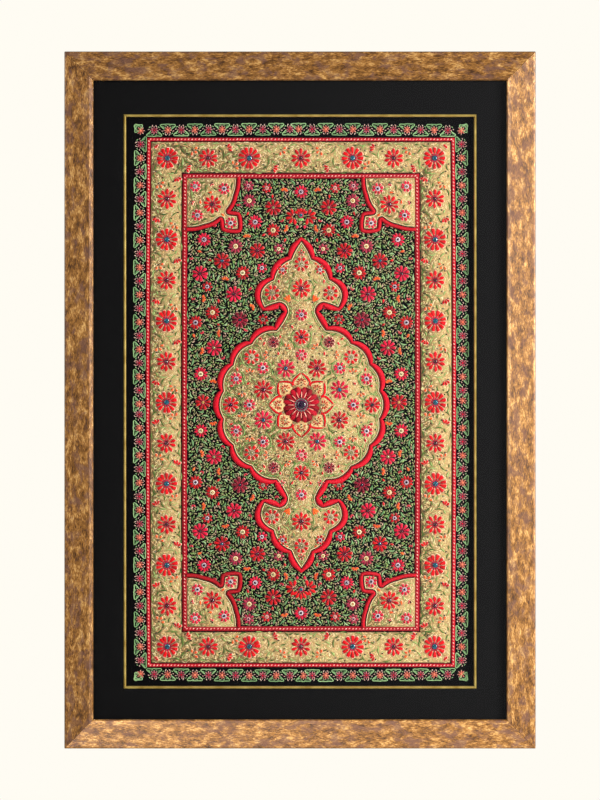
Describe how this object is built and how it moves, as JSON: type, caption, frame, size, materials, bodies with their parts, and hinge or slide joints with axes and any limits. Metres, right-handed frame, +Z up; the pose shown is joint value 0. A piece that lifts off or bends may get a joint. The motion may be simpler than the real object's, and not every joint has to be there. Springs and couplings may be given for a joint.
{
  "type": "framed zardozi wall hanging",
  "caption": "Raised embroidery worked as a small medallion carpet on black cloth, behind glass in a mitred antique gold frame with a black mat and a gilt fillet",
  "frame": {"origin": "the middle of the top edge on the wall, where the frame hangs", "axes": "+X to the right as seen from the room, +Z up, -Y out of the wall towards the room"},
  "size_m": [0.628, 0.028, 0.929],
  "materials": {
    "gold_moulding": "antique gold, brushed along each rail and rubbed through to brown",
    "gilt": "bright gilt, polished",
    "clear_glass": "clear picture glass",
    "black_mat": "black board, matt",
    "embroidery": "silk and metal thread raised on black velvet, red, green and tan",
    "stones": "polished dark cut stones and small glass beads",
    "hardboard": "plain brown hardboard"
  },
  "bodies": {
    "root": {"rail_top": "gold_moulding", "rail_bottom": "gold_moulding", "rail_left": "gold_moulding", "rail_right": "gold_moulding", "fillet_top": "gilt", "fillet_bottom": "gilt", "fillet_left": "gilt", "fillet_right": "gilt", "glass": "clear_glass", "mat_board": "black_mat", "embroidered_cloth": "embroidery", "centre_stone": "stones", "backing_board": "hardboard"}
  },
  "joints": []
}
